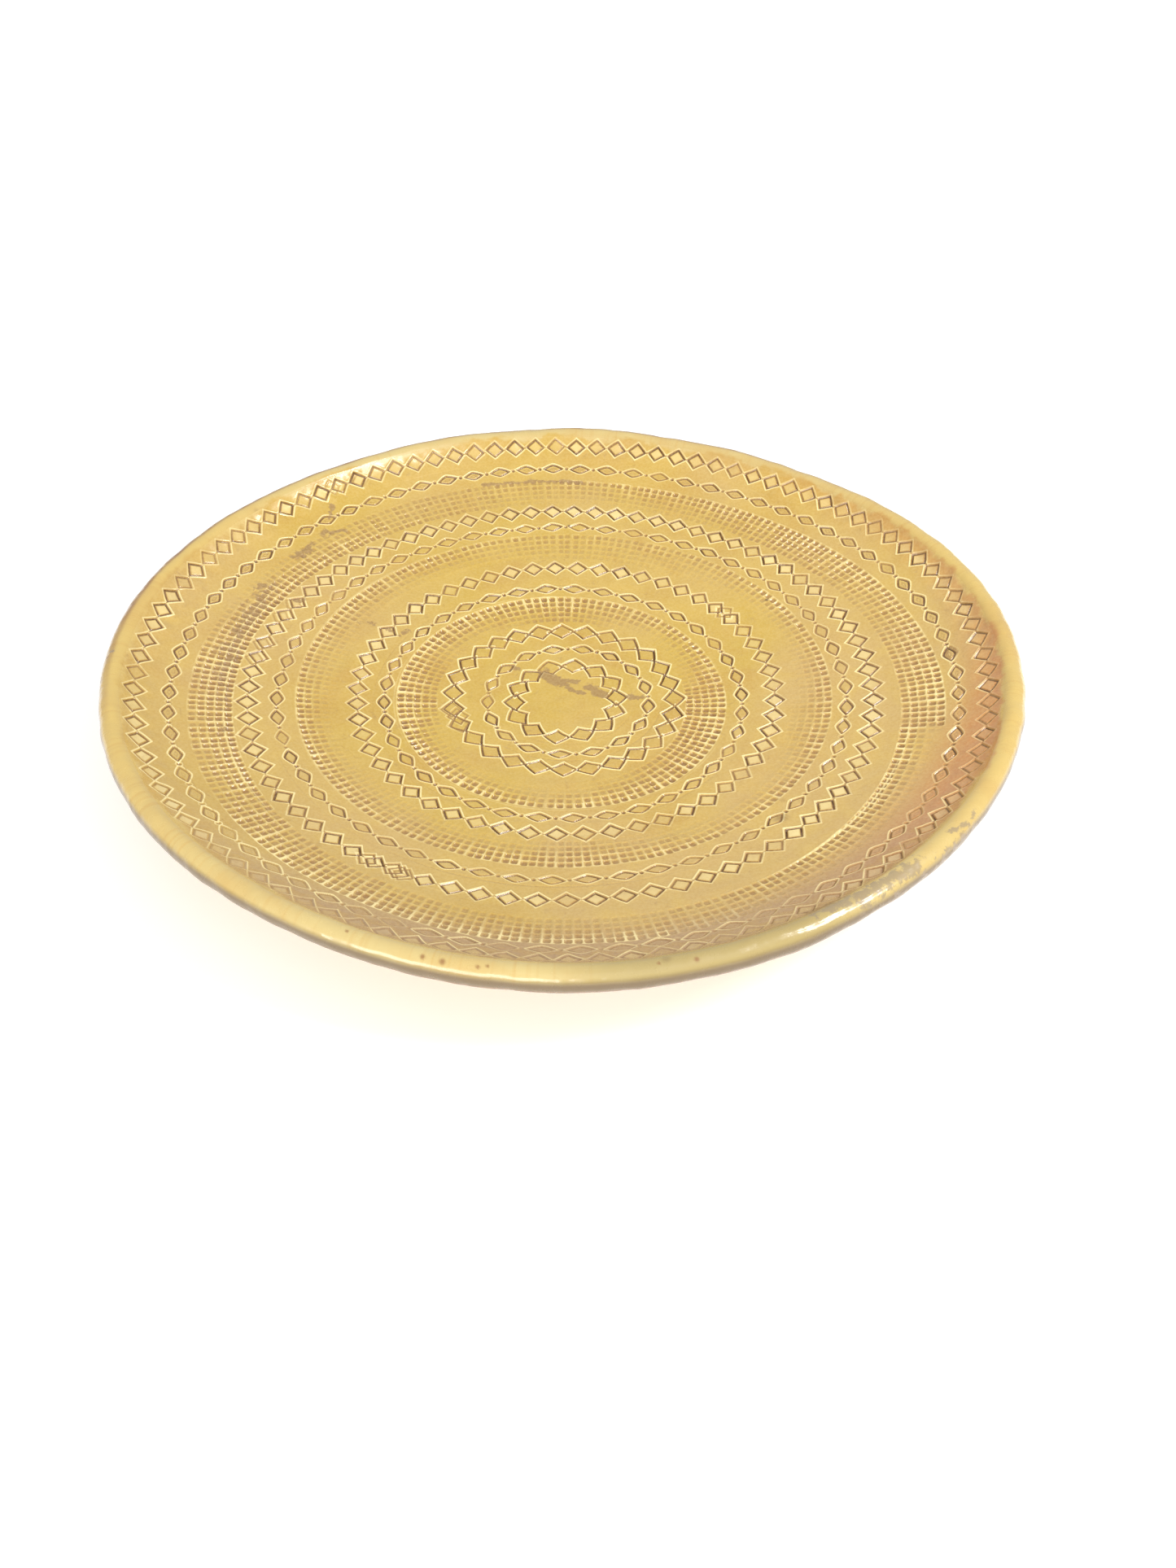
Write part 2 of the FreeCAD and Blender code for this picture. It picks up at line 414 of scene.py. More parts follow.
def reach(radius):
    """Distance from the axis along the skin, which is what a tool measures on the sloping wall."""
    return np.interp(radius, FACE_SECTION[:, 0], SECTION_REACH)


def strikes_of(number, ring):
    """Angle, radius, turn, scale and depth of every print of a ring, as its hand made them."""
    stamp, mean, count, first, depth, radius_waves, spacing_waves, stray = ring
    rng = np.random.default_rng(100 + number)
    angle = math.radians(first) + angles_round(count)
    angle = angle + np.radians(waves(angle, spacing_waves))
    angle = angle + rng.normal(0, 0.3 * stray, count) / mean
    radius = mean + waves(angle, radius_waves) + rng.normal(0, stray * 0.5, count)
    turn = rng.normal(0, 0.045, count)
    scale = rng.normal(1.0, 0.02, count)
    press = depth * np.clip(rng.normal(1.0, 0.16, count), 0.55, 1.3)
    if mean > STEEP_FROM:
        press = press * (1 - STEEP_LOSS * nearness(angle))
    return angle, radius, turn, scale, press


class Relief:
    """What the tools did to the face: heights in mm, and where glaze pools or breaks pale; the pale breaks
    are partly a painted highlight.
    """

    def __init__(self, radius, angle):
        self.radius = radius
        self.angle = angle
        self.reach = reach(radius)
        self.cut, self.swell, self.middle, self.pits, self.webs = np.zeros((5, *radius.shape))

    def rows_between(self, inner, outer):
        return np.flatnonzero((self.radius[:, 0] > inner) & (self.radius[:, 0] < outer))

    def strike(self, rows, stamp, angle, radius, turn, scale, press, hand=0.0):
        """Presses one stamp, whose place may differ from point to point, on some of the rows."""
        u = swing_from(self.angle[rows], angle) * radius
        v = self.reach[rows] - reach(radius)
        near = np.abs(u) < STRIKE_REACH
        along = (u * np.cos(turn) + v * np.sin(turn)) / scale
        out = (v * np.cos(turn) - u * np.sin(turn)) / scale
        cut, swell, middle = stamp(along, out)
        # the tool is never held quite level, so one side of a print is deeper
        lean = 1 + 0.05 * np.clip(along * np.cos(hand) + out * np.sin(hand), -4, 4)
        marks = cut * press * lean, swell * press, middle * press
        for field, mark in zip((self.cut, self.swell, self.middle), marks):
            field[rows] = np.maximum(field[rows], np.where(near, mark, 0))

    def press_ring(self, number, ring):
        stamp, mean, count, first, depth, radius_waves, spacing_waves, stray = ring
        spread = STRIKE_REACH + sum(size for _, size, _ in radius_waves)
        rows = self.rows_between(mean - spread, mean + spread)
        if not len(rows):
            return
        angle, radius, turn, scale, press = strikes_of(number, ring)
        drift = math.radians(first) + np.radians(waves(self.angle[rows], spacing_waves))
        place = (self.angle[rows] - drift) / TAU * count
        for neighbour in (-1, 0, 1):
            index = (np.round(place).astype(int) + neighbour) % count
            self.strike(rows, stamp, angle[index], radius[index], turn[index], scale[index],
                        press[index], hand=7.0 * index)
        if stamp in DOTTED:
            index = np.floor(place).astype(int) % count
            following = (index + 1) % count
            halfway = angle[index] + ((angle[following] - angle[index]) % TAU) / 2
            between = (radius[index] + radius[following]) / 2
            self.strike(rows, dot, halfway, between, 0.0, 1.0, press[index] * CUT_SHARE_OF_DOT)
        for struck, at, shift, weight in DOUBLE_STRIKES:
            if struck == number:
                direction = np.full(1, math.radians(at))
                centre = mean + waves(direction, radius_waves) + shift
                self.strike(rows, stamp, direction[0], centre[0], 0.06, 1.0, depth * weight)

    def roll_band(self, number, band):
        outermost, radius_waves, columns, row_count, depth, join, pressing = band
        spread = sum(size for _, size, _ in radius_waves)
        inner = outermost - spread - row_count * ROW_PITCH
        rows = self.rows_between(inner, outermost + spread + ROW_PITCH)
        if not len(rows):
            return
        radius, angle = self.radius[rows], self.angle[rows]
        rng = np.random.default_rng(200 + number)
        top = outermost + waves(angle, radius_waves)
        place = (reach(top) - self.reach[rows]) / ROW_PITCH
        row = np.clip(np.round(place), 0, row_count - 1)

        turned = (angle - math.radians(join)) % TAU / TAU * columns
        column = np.floor(turned).astype(int) % columns
        stray = rng.normal(0, 0.05, columns)
        row_stray = rng.normal(0, 0.035, (columns, row_count))
        strength = rng.uniform(0.75, 1.2, (columns, row_count))
        u = (turned - column - 0.5 - stray[column]) * TAU * radius / columns
        v = (place - row + row_stray[column, row.astype(int)]) * ROW_PITCH

        at, outer_press, inner_press = np.array(pressing).T
        around = np.degrees(angle)
        outer = np.interp(around, at, outer_press, period=360)
        inner = np.interp(around, at, inner_press, period=360)
        press = outer + (inner - outer) * row / (row_count - 1)
        press = np.clip(press * strength[column, row.astype(int)], 0, 1.1) * depth

        half_u = np.minimum(1.12, 0.35 * TAU * radius / columns)
        square = ((np.abs(u) / half_u) ** 4 + (np.abs(v) / 1.24) ** 4) ** 0.25
        pit = 1 - ease(square, 0.74, 1.26)
        self.pits[rows] = np.maximum(self.pits[rows], pit * press)

        inside = ease(place, -0.75, -0.45) * (1 - ease(place, row_count - 0.6, row_count - 0.3))
        web = ease(square, 1.12, 1.4) * inside * np.clip(2 * press / depth - 0.35, 0, 1)
        self.webs[rows] = np.maximum(self.webs[rows], web * press)

    def scribe(self, line):
        mean, radius_waves, first, last, depth = line
        distance = self.radius - mean - waves(self.angle, radius_waves)
        if np.abs(distance).min() > 1:
            return
        along = (np.degrees(self.angle) - first) % 360
        span = last - first
        present = ease(along, 0, 14) * (1 - ease(along, span - 14, span))
        fading = 0.75 + 0.25 * np.cos(5 * self.angle + mean)
        if depth > 0:
            self.cut = np.maximum(self.cut, bell(distance, 0.5) * depth * present * fading)
        else:
            self.webs = np.maximum(self.webs, -2.2 * depth * bell(distance, 0.75) * present * fading)

    def height(self):
        """Height of the glazed skin above the true dish, in mm."""
        x, y = flat(self.radius, self.angle)
        throwing = 0.05 * np.cos(self.radius * TAU / 9.3 + 0.4 * np.cos(self.angle))
        soft = 0.16 * BROAD_LUMPS(x, y) + 0.05 * SMALL_LUMPS(x, y) + 0.012 * TINY_LUMPS(x, y)
        fade = 1 - ease(self.radius, 171.0, 175.5)
        handled = ease(self.radius, 163.0, 168.0) * (1 - ease(self.radius, 174.5, 176.5))
        tooled = SWELL * self.swell / 0.7 + RIDGE_RISE * self.webs / 0.6
        sunk = self.cut + self.pits + MIDDLE_PRESS * self.middle / 0.7
        return (throwing + soft) * fade + RIM_LUMP * RIM_LUMPS(x, y) * handled + tooled - sunk

    def pooling(self):
        return np.clip((self.cut + 0.72 * self.pits) / 0.7, 0, 1.2)

    # Pale where glaze runs thin over swells, webs and print middles, partly a painted highlight on them.
    def breaking_and_highlight(self):
        clear = 1 - np.clip(self.cut / 0.35, 0, 1)
        return np.clip((1.25 * self.swell + 0.85 * self.webs + 0.42 * self.middle) / 0.6, 0, 1.2) * clear


# Darker grey-brown marks, as strokes: strength, half width in mm, and the stroke's points
# (radius, angle). The smudge in the middle and the grey lines on the left are painted
# reflections of the room.
MARK_AND_REFLECTION_STROKES = (
    (1.0, 3.3, ((20, 118), (16, 110), (13, 100))),
    (0.85, 2.0, ((13, 100), (11, 85))),
    (0.75, 1.7, ((14, 95), (14, 70))),
    (0.8, 1.5, ((9, 85), (8, 50), (10, 30))),
    (0.95, 2.7, ((14, 42), (17, 15))),
    (0.7, 1.5, ((28, 5), (33, 3))),
    (0.5, 1.2, ((36, 138), (30, 134))),
    (0.7, 1.2, ((159, 135), (164, 133))),
    (0.55, 2.6, ((153, 138), (149, 135))),
    (0.5, 2.6, ((149, 146), (149, 142))),
    (1.0, 0.9, ((145, 155), (145, 156))),
    (0.62, 4.6, ((145, 157), (143, 170), (143, 180))),
    (0.45, 3.0, ((143, 180), (142, 196))),
    (0.6, 1.6, ((131, 156), (129, 155))),
    (0.6, 1.4, ((89, 152), (88, 152))),
    (0.55, 1.6, ((83, 152), (82, 149))),
    (0.45, 2.2, ((101, 153), (96, 152))),
    (0.8, 1.0, ((153, 106), (152, 96), (151, 88))),
    (0.55, 0.9, ((136, 51), (140, 50))),
    (0.8, 0.9, ((185, 183), (184, 183))),
    (1.0, 4.0, ((176, 300), (180, 306), (181, 314))),
    (0.6, 2.2, ((184, 315), (185, 325))),
    (0.7, 1.6, ((180, 321), (183, 324), (182, 326))),
)


# Iron specks in the glaze: radius, angle and size in mm
SPECKS = ((120, 90, 1.1), (110, 35, 1.3))


def specked(x, y):
    total = np.zeros_like(x)
    for radius, at, size in SPECKS:
        speck_x, speck_y = flat(radius, math.radians(at))
        total = np.maximum(total, 1 - ease(np.hypot(x - speck_x, y - speck_y), 0.3 * size, size))
    return total


def marks_and_reflections(x, y):
    """How strongly the marks and painted reflections darken the skin at a place in mm, 0 to 1."""
    total = np.zeros_like(x)
    for strength, half_width, stroke in MARK_AND_REFLECTION_STROKES:
        points = [flat(r, math.radians(at)) for r, at in stroke]
        distance = np.full_like(x, np.inf)
        for (x0, y0), (x1, y1) in zip(points, points[1:]):
            run = np.array([x1 - x0, y1 - y0])
            share = np.clip(((x - x0) * run[0] + (y - y0) * run[1]) / (run @ run), 0, 1)
            distance = np.minimum(distance, np.hypot(x - x0 - share * run[0], y - y0 - share * run[1]))
        total = np.maximum(total, strength * np.exp(-(distance / half_width) ** 2))
    return total


STREAK_SIZES = ((60, 0.4), (290, 0.5), (620, 0.6))      # most waves round the rim, weight


def streaks(angle):
    """Runs of darker glaze across the lip, -1 to 1, from seeded waves of three sizes."""
    rng = np.random.default_rng(77)
    total = np.zeros_like(angle)
    for count, weight in STREAK_SIZES:
        for _ in range(5):
            waves_round = rng.integers(count // 2, count)
            total += weight * np.cos(waves_round * angle + rng.uniform(0, TAU)) / 5 ** 0.5
    patchy = 0.6 + 0.4 * np.cos(3 * angle + 1.1) * np.cos(5 * angle)
    return np.clip(total * patchy, -1, 1)


def dulled(angle):
    """Where the lip is duller and greener, at the front."""
    return ease(np.cos(angle - math.radians(288)), 0.93, 0.995)


def warmth(radius, angle):
    """Where the wall is browner: towards the right and the front."""
    side = 0.5 + 0.5 * np.cos(angle - math.radians(315))
    start = 162 - 20 * ease(np.cos(angle - math.radians(290)), 0.0, 0.9)
    return ease(radius, start, start + 23) * (0.1 + 0.9 * ease(side, 0.25, 0.75))


def tanness(radius, angle, x, y):
    """Where the honey colour is paler and greyer: on the outer floor, left, right and front."""
    back = ease(np.sin(angle), 0.1, 0.95)
    return np.clip(ease(radius, 50, 135) * (1 - 0.85 * back) + 0.25 * BROAD_LUMPS(x, y), 0, 1)


def nearness(angle):
    """1 at the front of the dish, where the brown of the wall is greyer, 0 at the back."""
    return ease(np.cos(angle - math.radians(262)), 0.2, 0.9)


# --- Meshes ---

def link(name, mesh, material):
    piece = bpy.data.objects.new(name, mesh)
    mesh.materials.append(material)
    bpy.context.scene.collection.objects.link(piece)
    return piece


def mesh_from(name, vertices, faces, normals, channels):
    """Mesh from arrays in mm. faces is a list of (n, 3) and (n, 4) arrays of vertex numbers."""
    mesh = bpy.data.meshes.new(name)
    corners = np.concatenate([block.ravel() for block in faces]).astype(np.int32)
    sizes = np.concatenate([np.full(len(block), block.shape[1]) for block in faces]).astype(np.int32)
    starts = np.concatenate([[0], np.cumsum(sizes)[:-1]]).astype(np.int32)
    mesh.vertices.add(len(vertices))
    mesh.vertices.foreach_set("co", (vertices * MM).astype(np.float32).ravel())
    mesh.loops.add(len(corners))
    mesh.loops.foreach_set("vertex_index", corners)
    mesh.polygons.add(len(sizes))
    mesh.polygons.foreach_set("loop_start", starts)
    mesh.polygons.foreach_set("loop_total", sizes)
    mesh.update(calc_edges=True)
    mesh.shade_smooth()
    for channel, values in channels.items():
        layer = mesh.attributes.new(channel, "FLOAT", "POINT")
        layer.data.foreach_set("value", values.astype(np.float32))
    mesh.normals_split_custom_set_from_vertices(normals.astype(np.float32))
    return mesh


def unit(vectors):
    return vectors / np.linalg.norm(vectors, axis=-1, keepdims=True)


def grid_normals(points):
    """Normals of a grid of points (rows along the section, columns round the dish)."""
    along = np.gradient(points, axis=0)
    around = np.roll(points, -1, axis=1) - np.roll(points, 1, axis=1)
    return unit(np.cross(along, around))


def zip_rings(inner_start, inner_count, outer_start, outer_count):
    """Faces between two rings of evenly spaced points that both start at angle 0."""
    if inner_count == outer_count:
        here = np.arange(inner_count)
        following = (here + 1) % inner_count
        return np.stack([inner_start + here, outer_start + here,
                         outer_start + following, inner_start + following], axis=1)
    triangles = []
    inner = outer = 0
    while inner < inner_count or outer < outer_count:
        inner_at = inner_start + inner % inner_count
        outer_at = outer_start + outer % outer_count
        if (outer + 0.5) * inner_count <= (inner + 0.5) * outer_count and outer < outer_count:
            triangles.append((inner_at, outer_at, outer_start + (outer + 1) % outer_count))
            outer += 1
        else:
            triangles.append((inner_at, outer_at, inner_start + (inner + 1) % inner_count))
            inner += 1
    return np.array(triangles)


# Points round the dish, out to each radius, so that they stay about 0.4 mm apart
RING_COUNTS = ((5, 96), (10, 192), (18, 320), (36, 576), (60, 960), (84, 1344), (110, 1728),
               (140, 2208), (190, 2688))
FACE_STEP = 0.40
FACE_BACKING = 1.25          # mm from the skin down to the underside of a face piece

# Face pieces: name and outer radius. The seams run under the skin between rings of pattern.
FACE_BANDS = (
    ("face_glaze_middle", 53.0),
    ("face_glaze_inner_pits", 73.6),
    ("face_glaze_inner_diamonds", 96.0),
    ("face_glaze_middle_pits", 113.8),
    ("face_glaze_outer_lozenges", 124.5),
    ("face_glaze_outer_diamonds", 137.0),
    ("face_glaze_outer_pits_low", 147.0),
    ("face_glaze_outer_pits_high", 156.5),
    ("face_glaze_rim_lozenges", 166.0),
    ("face_glaze_rim_diamonds", 174.6),
    ("face_glaze_lip_foot", 180.0),
)


def ring_count(radius):
    for limit, count in RING_COUNTS:
        if radius <= limit:
            return count


def glaze_channels(radius, angle, place):
    """What the colours of the face and the lip follow, apart from the relief."""
    x, y = place[..., 0], place[..., 1]
    return {
        "mark_and_reflection": marks_and_reflections(x, y),
        "warm": warmth(radius, angle),
        "front": nearness(angle),
        "tan": tanness(radius, angle, x, y),
        "streak": streaks(angle),
        "dull": dulled(angle),
        "ends": ease(np.abs(np.sin(angle)), 0.3, 0.95),
    }


def face_block(points, normals, count):
    """Skin of rows that all have the same number of points round them, in mm, with its channels."""
    angle = np.broadcast_to(angles_round(count), (len(points), count))
    radius = np.broadcast_to(points[:, :1], angle.shape)
    relief = Relief(radius, angle)
    for number, ring in enumerate(PRINT_RINGS):
        relief.press_ring(number, ring)
    for number, band in enumerate(PIT_BANDS):
        relief.roll_band(number, band)
    for line in SCRIBED_LINES:
        relief.scribe(line)
    height = relief.height()
    # On the steep front wall the dark pools are weakened and the pale edges brightened: painted highlight
    # of the wall seen at a grazing angle.
    painted_front_highlight = nearness(angle) * ease(radius, 150, 158)
    ridges = np.clip(relief.webs / 0.5, 0, 1)
    place = warped(radius + normals[:, :1] * height, angle, points[:, 1:] + normals[:, 1:] * height)
    channels = glaze_channels(radius, angle, place)
    channels["mark_and_reflection"] *= 1 - 0.65 * ridges
    channels["pool"] = relief.pooling() * (1 - 0.45 * painted_front_highlight)
    channels["break_and_highlight"] = relief.breaking_and_highlight() * (1 + 1.2 * painted_front_highlight)
    channels["speck"] = specked(place[..., 0], place[..., 1])
    channels["edge"] = relief.reach - SECTION_REACH[-1]
    return place, channels


def make_face(material):
    """The face coat, as closed pieces that share their seams' points."""
    points, normals = face_line(0.0, FACE_STEP)
    counts = np.array([ring_count(radius) for radius in points[:, 0]])
    rows, shades, row_normals = [], [], []
    for count in np.unique(counts):
        index = np.flatnonzero(counts == count)
        # one row more at each end gives the normals their neighbours
        wide = np.arange(max(index[0] - 1, 0), min(index[-1] + 2, len(points)))
        place, channels = face_block(points[wide], normals[wide], count)
        facing = grid_normals(place)
        if index[0] == 0:
            facing[0] = (0, 0, 1)
        keep = np.isin(wide, index)
        rows += list(place[keep])
        row_normals += list(facing[keep])
        shades += [{key: values[row] for key, values in channels.items()}
                   for row in np.flatnonzero(keep)]

    first = 0
    for name, outer_radius in FACE_BANDS:
        last = int(np.searchsorted(points[:, 0], outer_radius)) - 1
        last = min(last, len(points) - 1)
        piece = face_piece(name, points, normals, rows, row_normals, shades, first, last, material)
        add(piece, "face_glaze")
        first = last


def face_piece(name, points, normals, rows, row_normals, shades, first, last, material):
    """Closed ring-shaped solid: rows first to last of the skin, and a smooth underside."""
    vertices, facing, starts, counts, channels = [], [], [], [], {key: [] for key in shades[0]}
    total = 0

    def add_row(place, direction, shade):
        nonlocal total
        starts.append(total)
        counts.append(len(place))
        vertices.append(place)
        facing.append(direction)
        for key in channels:
            channels[key].append(shade[key] if shade else np.zeros(len(place)))
        total += len(place)

    for row in range(first, last + 1):
        # the innermost row is a single point
        kept = slice(None) if row else slice(1)
        shade = {key: values[kept] for key, values in shades[row].items()}
        add_row(rows[row][kept], row_normals[row][kept], shade)
    # the underside runs back from the outer seam to the inner one
    inner_row = max(first, 1)
    under = np.linspace(last, inner_row, 6).round().astype(int)
    for row in under:
        count = len(rows[last]) if row == last else len(rows[inner_row])
        angle = angles_round(count)
        point = points[row] - normals[row] * FACE_BACKING
        place = warped(np.full(count, point[0]), angle, np.full(count, point[1]))
        add_row(place, np.broadcast_to((0.0, 0.0, -1.0), place.shape), None)

    faces = []
    for ring in range(len(starts) - 1):
        if counts[ring] == 1:
            here = np.arange(counts[1])
            faces.append(np.stack([np.zeros_like(here), starts[1] + here,
                                   starts[1] + (here + 1) % counts[1]], axis=1))
        else:
            faces.append(zip_rings(starts[ring], counts[ring], starts[ring + 1], counts[ring + 1]))
    if first == 0:
        here = np.arange(counts[-1])
        faces.append(np.stack([starts[-1] + here, np.full_like(here, total),
                               starts[-1] + (here + 1) % counts[-1]], axis=1))
        point = points[0] - normals[0] * FACE_BACKING
        add_row(np.array([[0.0, 0.0, point[1]]]), np.array([[0.0, 0.0, -1.0]]), None)
    else:
        faces.append(zip_rings(starts[-1], counts[-1], starts[0], counts[0]))
    values = {key: np.concatenate(parts) for key, parts in channels.items()}
    mesh = mesh_from(name, np.concatenate(vertices), faces, np.concatenate(facing), values)
    return link(name, mesh, material)


def turned_piece(name, runs, count, relief, shade, material, on_axis=False):
    """Closed piece turned from a closed outline in mm, given as smooth runs of (points, normals).

    relief gives heights, shade gives channels.
    """
    outline = np.concatenate([points for points, _ in runs])
    outline_normals = np.concatenate([normals for _, normals in runs])
    angle = np.broadcast_to(angles_round(count), (len(outline), count))
    radius = np.broadcast_to(outline[:, :1], angle.shape)
    height = np.broadcast_to(outline[:, 1:], angle.shape)
    rise = relief(radius, angle, height)
    place = warped(np.maximum(radius + outline_normals[:, :1] * rise, 0.0), angle,
                   height + outline_normals[:, 1:] * rise)
    ends = np.cumsum([len(points) for points, _ in runs])
    facing = np.concatenate([grid_normals(block) for block in np.split(place, ends[:-1])])
    rows = len(outline)
    here = np.arange(count)
    following = (here + 1) % count
    faces = []
    for row in range(rows):
        above = (row + 1) % rows
        if on_axis and above == 0:
            continue
        faces.append(np.stack([row * count + here, above * count + here,
                               above * count + following, row * count + following], axis=1))
    vertices = place.reshape(-1, 3)
    directions = facing.reshape(-1, 3)
    channels = {key: values.ravel() for key, values in shade(radius, angle, height, place).items()}
    if on_axis:
        for row in (0, rows - 1):
            middle = len(vertices)
            ring = row * count + here
            order = [np.full_like(here, middle), ring, row * count + following]
            if row:
                order = [order[0], order[2], order[1]]
            faces.append(np.stack(order, axis=1))
            centre = place[row].mean(axis=0, keepdims=True)
            centre[0, :2] = 0.0
            vertices = np.concatenate([vertices, centre])
            directions = np.concatenate([directions, unit(directions[ring].mean(axis=0, keepdims=True))])
            channels = {key: np.append(values, values[ring[0]]) for key, values in channels.items()}
    mesh = mesh_from(name, vertices, faces, directions, channels)
    return link(name, mesh, material)


def no_relief(radius, angle, height):
    return np.zeros_like(radius)


def no_channels(radius, angle, height, place):
    return {}


# --- Materials ---

def linear(red, green, blue):
    """Linear colour with alpha from display values 0 to 255."""
    values = np.array([red, green, blue]) / 255.0
    low = values / 12.92
    high = ((values + 0.055) / 1.055) ** 2.4
    return (*np.where(values <= 0.04045, low, high), 1.0)


class Nodes:
    """A material's node tree, with short ways to add what the glazes need."""

    def __init__(self, name):
        self.material = bpy.data.materials.new(name)
        self.material.use_nodes = True
        self.tree = self.material.node_tree
        self.shader = self.tree.nodes["Principled BSDF"]
        coordinates = self.tree.nodes.new("ShaderNodeTexCoord")
        self.place = coordinates.outputs["Object"]

    def node(self, kind, inputs=(), **settings):
        made = self.tree.nodes.new(kind)
        for key, value in settings.items():
            setattr(made, key, value)
        for key, value in dict(inputs).items():
            self.put(made.inputs[key], value)
        return made

    def surface(self, inputs):
        for key, value in inputs.items():
            self.put(self.shader.inputs[key], value)

    def put(self, socket, value):
        """Links a socket to another node's output, or sets its own value."""
        if isinstance(value, bpy.types.NodeSocket):
            self.tree.links.new(value, socket)
        else:
            socket.default_value = value

    def noise(self, scale, detail, roughness, distortion=0.0):
        return self.node("ShaderNodeTexNoise", {
            "Vector": self.place, "Scale": scale, "Detail": detail,
            "Roughness": roughness, "Distortion": distortion}).outputs["Fac"]

    def attribute(self, name):
        return self.node("ShaderNodeAttribute", attribute_name=name).outputs["Fac"]

    def math(self, operation, first, second=0.0, clamp=False):
        made = self.node("ShaderNodeMath", {0: first, 1: second}, operation=operation, use_clamp=clamp)
        return made.outputs[0]

    def ramp(self, value, low, high, to_low=0.0, to_high=1.0):
        """Value between low and high spread smoothly over another range."""
        made = self.node("ShaderNodeMapRange", {
            "Value": value, "From Min": low, "From Max": high, "To Min": to_low, "To Max": to_high},
            interpolation_type="SMOOTHSTEP")
        return made.outputs["Result"]

    def mix(self, share, first, second, blend="MIX"):
        made = self.node("ShaderNodeMix", data_type="RGBA", blend_type=blend)
        self.put(made.inputs[0], share)
        self.put(made.inputs[6], first)
        self.put(made.inputs[7], second)
        return made.outputs[2]

    def times(self, first, second):
        return self.math("MULTIPLY", first, second)

    def tint(self, colour, share, strength, target):
        """Colour mixed towards a target colour by a share times a strength."""
        return self.mix(self.times(share, strength), colour, target)

    def spots(self, colour, scale, threshold, shift, strength):
        """Colour with sparse small spots of iron."""
        shifted = self.node("ShaderNodeMapping", {"Vector": self.place, "Location": (shift,) * 3})
        cells = self.node("ShaderNodeTexVoronoi", {"Vector": shifted.outputs["Vector"], "Scale": scale})
        chance = self.node("ShaderNodeSeparateColor", {"Color": cells.outputs["Color"]})
        chosen = self.math("GREATER_THAN", chance.outputs[0], threshold)
        spot = self.ramp(cells.outputs["Distance"], 0.12, 0.34, 1.0, 0.0)
        return self.tint(colour, self.times(spot, chosen), strength, IRON)

    def bump(self, height, strength, distance, before=None):
        inputs = {"Height": height, "Strength": strength, "Distance": distance}
        if before is not None:
            inputs["Normal"] = before
        return self.node("ShaderNodeBump", inputs).outputs["Normal"]


def honey_colour(nodes, mottle):
    """Honey glaze, tan on the outer floor and browner on the wall towards the right and the front."""
    drift = nodes.noise(9.0, 3.0, 0.55)
    tan = nodes.math("ADD", nodes.attribute("tan"), nodes.ramp(drift, 0.38, 0.62, -0.3, 0.3), clamp=True)
    colour = nodes.mix(tan, HONEY_GOLD, HONEY_TAN)
    colour = nodes.mix(nodes.ramp(mottle, 0.35, 0.75, 0.0, 0.7), colour, HONEY)
    thick = nodes.ramp(nodes.noise(30.0, 4.0, 0.6, 0.8), 0.45, 0.72, 0.0, 0.5)
    colour = nodes.tint(colour, thick, nodes.ramp(tan, 0.0, 1.0, 1.0, 0.4), AMBER)
    brown = nodes.mix(nodes.attribute("front"), WALL_BROWN, WALL_GREY_BROWN)
    return nodes.tint(colour, nodes.attribute("warm"), nodes.ramp(mottle, 0.2, 0.6, 0.8, 1.0), brown)


def lip_colour(nodes):
    """Pale lip, yellower at the sides and the back, with faint runs of amber."""
    drift = nodes.noise(24.0, 4.0, 0.6, 0.5)
    colour = nodes.mix(nodes.attribute("ends"), LIP_SIDE, LIP_PALE)
    colour = nodes.mix(nodes.ramp(drift, 0.4, 0.7, 0.0, 0.5), colour, LIP_AMBER)
    colour = nodes.mix(nodes.ramp(nodes.attribute("streak"), 0.0, 1.2, 0.0, 0.45), colour, LIP_AMBER)
    return nodes.tint(colour, nodes.attribute("dull"), 0.8, LIP_DULL)


def on_lip(nodes):
    """0 on the wall and 1 on the lip, with a border that wanders across their seam."""
    wander = nodes.ramp(nodes.noise(50.0, 4.0, 0.65), 0.3, 0.7, -2.4, 2.4)
    return nodes.ramp(nodes.math("ADD", nodes.attribute("edge"), wander), -2.0, 1.2)


def glaze_surface(nodes, colour, roughness, normal, coat_roughness):
    """Glossy glaze under a clear coat."""
    nodes.surface({
        "Base Color": colour, "Roughness": roughness, "Normal": normal,
        "IOR": 1.5, "Specular IOR Level": 0.5,
        "Coat Weight": 0.5, "Coat Roughness": coat_roughness, "Coat IOR": 1.5})


HONEY = linear(203, 169, 82)
HONEY_GOLD = linear(196, 162, 66)
HONEY_TAN = linear(196, 162, 94)
AMBER = linear(184, 140, 58)
POOLED = linear(98, 60, 36)
POOLED_PIT = linear(152, 108, 54)
# pale of glaze thin over ridges, partly a painted highlight; also lifts the fine grain
BROKEN_AND_HIGHLIGHT = linear(248, 228, 164)
WALL_BROWN = linear(192, 131, 73)
WALL_GREY_BROWN = linear(173, 138, 99)
MARK_AND_REFLECTION_BROWN = linear(148, 112, 68)
STAIN_GREY = linear(150, 131, 106)
LIP_PALE = linear(206, 184, 122)
LIP_SIDE = linear(210, 180, 103)
LIP_AMBER = linear(198, 160, 88)
LIP_DULL = linear(168, 148, 94)
LIP_PAINTED_SHADE = linear(112, 90, 58)
IRON = linear(96, 56, 30)
IRON_LINE = linear(140, 92, 52)
CLAY = linear(190, 152, 116)
CLAY_DARK = linear(146, 108, 76)
TABLE_WHITE = linear(247, 247, 247)


def glazed_ground(nodes, mottle):
    """Colour of the glaze before any marks: honey on the wall, paler on the lip."""
    return nodes.mix(on_lip(nodes), honey_colour(nodes, mottle), lip_colour(nodes))


